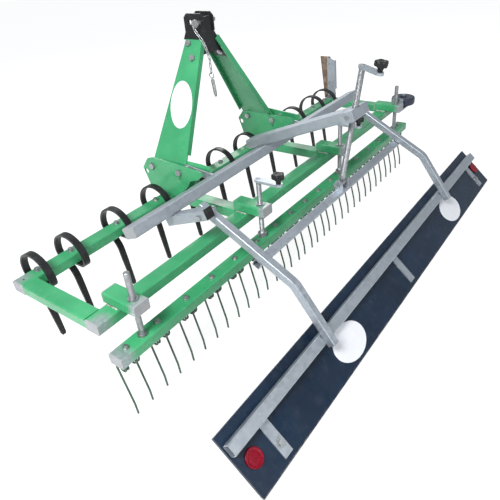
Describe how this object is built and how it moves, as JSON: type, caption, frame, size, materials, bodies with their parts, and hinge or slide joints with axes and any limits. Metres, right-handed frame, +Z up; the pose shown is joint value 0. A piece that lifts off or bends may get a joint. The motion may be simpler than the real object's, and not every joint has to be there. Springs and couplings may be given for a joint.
{
  "type": "arena leveller",
  "caption": "Three-point mounted arena leveller: tubular frame, loop spring tines, hanging wire-tine harrow with height cranks and a screw-set levelling board",
  "frame": {"origin": "on the ground under the middle of the machine's outer box", "axes": "+X along the machine to its right end, +Y forward to the tractor, +Z up"},
  "size_m": [2.274, 1.101, 1.023],
  "materials": {
    "green_paint": "gloss",
    "galvanised": "satin",
    "black_paint": "satin",
    "navy_paint": "satin",
    "zinc": "satin",
    "bright_steel": "bright",
    "black_plastic": "matte",
    "red_reflector": "gloss",
    "white_sticker": "satin",
    "worn_steel": "worn",
    "navy_plastic": "satin"
  },
  "bodies": {
    "frame": {"front_bar": "green_paint", "rear_bar": "green_paint", "end_members": "green_paint", "inner_members": "green_paint", "frame_end_caps": "bright_steel", "rod_holders": "green_paint", "holder_end_caps": "bright_steel", "guide_bushes": "zinc", "crank_nuts": "zinc", "front_tines": "black_paint", "front_tine_bolts": "zinc", "hitch_plates": "green_paint", "hitch_bolts": "zinc", "mast_uprights": "green_paint", "top_link_bracket": "black_paint", "mast_bolts": "zinc", "cross_bar": "galvanised", "cross_bar_caps": "bright_steel", "cross_bar_lugs": "galvanised", "boom": "galvanised", "boom_head": "galvanised", "pivot_tubes": "galvanised", "pivot_tube_plugs": "black_plastic", "pivot_bolts": "zinc", "wheel_bracket": "galvanised", "blade_bracket": "galvanised", "upright_oval": "white_sticker"},
    "top_link_pin": {"top_link_pin": "zinc"},
    "tether": {"tether_chain": "zinc", "linch_pin": "zinc"},
    "harrow": {"harrow_bar": "green_paint", "harrow_end_caps": "bright_steel", "harrow_tines": "black_paint", "harrow_bolts": "zinc", "guide_rods": "bright_steel", "screw_feet": "zinc"},
    "left_crank": {"left_crank_screw": "bright_steel", "left_crank_arm": "zinc"},
    "left_knob": {"left_crank_knob": "black_plastic"},
    "right_crank": {"right_crank_screw": "bright_steel", "right_crank_arm": "zinc"},
    "right_knob": {"right_crank_knob": "black_plastic"},
    "board_frame": {"board_arms": "galvanised", "cross_tube": "galvanised", "swivel_plates": "galvanised", "arm_rail": "galvanised", "levelling_board": "navy_paint", "board_straps": "galvanised", "strap_bolts": "zinc", "reflectors": "red_reflector", "board_ovals": "white_sticker"},
    "trunnion": {"trunnion_nut": "bright_steel"},
    "swivel": {"swivel_block": "bright_steel"},
    "lift_screw": {"lift_screw": "bright_steel", "lift_crank_arm": "zinc"},
    "lift_knob": {"lift_crank_knob": "black_plastic"},
    "wheel": {"spacer_wheel": "navy_plastic"},
    "blade": {"blade_carrier": "galvanised", "edge_blade": "worn_steel", "blade_bolts": "zinc"}
  },
  "joints": [
    {"name": "harrow_height", "type": "slide", "parent": "frame", "child": "harrow", "axis": [0, 0, 1], "range_m": [-0.04, 0.04]},
    {"name": "left_crank_turn", "type": "hinge", "parent": "harrow", "child": "left_crank", "pos_m": [-0.363, -0.0285, 0.508], "axis": [0, 0, 1], "range_deg": [-2880, 2880]},
    {"name": "left_knob_spin", "type": "hinge", "parent": "left_crank", "child": "left_knob", "pos_m": [-0.363, -0.1185, 0.52], "axis": [0, 0, 1], "continuous": true},
    {"name": "right_crank_turn", "type": "hinge", "parent": "harrow", "child": "right_crank", "pos_m": [0.289, -0.0285, 0.508], "axis": [0, 0, 1], "range_deg": [-2880, 2880]},
    {"name": "right_knob_spin", "type": "hinge", "parent": "right_crank", "child": "right_knob", "pos_m": [0.289, -0.1185, 0.52], "axis": [0, 0, 1], "continuous": true},
    {"name": "board_tilt", "type": "hinge", "parent": "frame", "child": "board_frame", "pos_m": [-0.037, -0.00607, 0.50353], "axis": [1, 0, 0], "range_deg": [-3.96, 3.96]},
    {"name": "trunnion_swing", "type": "hinge", "parent": "frame", "child": "trunnion", "pos_m": [-0.037, -0.25031, 0.69218], "axis": [1, 0, 0], "range_deg": [-1.4, 1.4]},
    {"name": "lift_travel", "type": "slide", "parent": "trunnion", "child": "swivel", "axis": [0, -0.1514, 0.9885], "range_m": [-0.0155, 0.0155]},
    {"name": "lift_crank_turn", "type": "hinge", "parent": "swivel", "child": "lift_screw", "pos_m": [-0.037, -0.20541, 0.39916], "axis": [0, -0.1514, 0.9885], "range_deg": [-1060, 1060]},
    {"name": "lift_knob_spin", "type": "hinge", "parent": "lift_screw", "child": "lift_knob", "pos_m": [-0.06505, -0.35161, 0.84459], "axis": [0, -0.1514, 0.9885], "continuous": true},
    {"name": "link_pin_pull", "type": "slide", "parent": "frame", "child": "top_link_pin", "axis": [1, 0, 0], "range_m": [-0.09, 0.02]},
    {"name": "tether_swing", "type": "hinge", "parent": "top_link_pin", "child": "tether", "pos_m": [-0.1028, 0.4285, 0.969], "axis": [1, 0, 0], "range_deg": [-12, 0]},
    {"name": "wheel_spin", "type": "hinge", "parent": "frame", "child": "wheel", "pos_m": [1.073, -0.0235, 0.395], "axis": [0, 0, 1], "continuous": true},
    {"name": "blade_fold", "type": "hinge", "parent": "frame", "child": "blade", "pos_m": [1.072, 0.4255, 0.378], "axis": [1, 0, 0], "range_deg": [-180, 0]}
  ],
  "couplings": [
    {"joint": "left_crank_turn", "follows": "harrow_height", "rad_per_m": 1256.6},
    {"joint": "right_crank_turn", "follows": "harrow_height", "rad_per_m": 1256.6},
    {"joint": "lift_crank_turn", "follows": "board_tilt", "ratio": -267.48},
    {"joint": "lift_travel", "follows": "board_tilt", "m_per_rad": -0.21286},
    {"joint": "trunnion_swing", "follows": "board_tilt", "ratio": 0.2462}
  ]
}
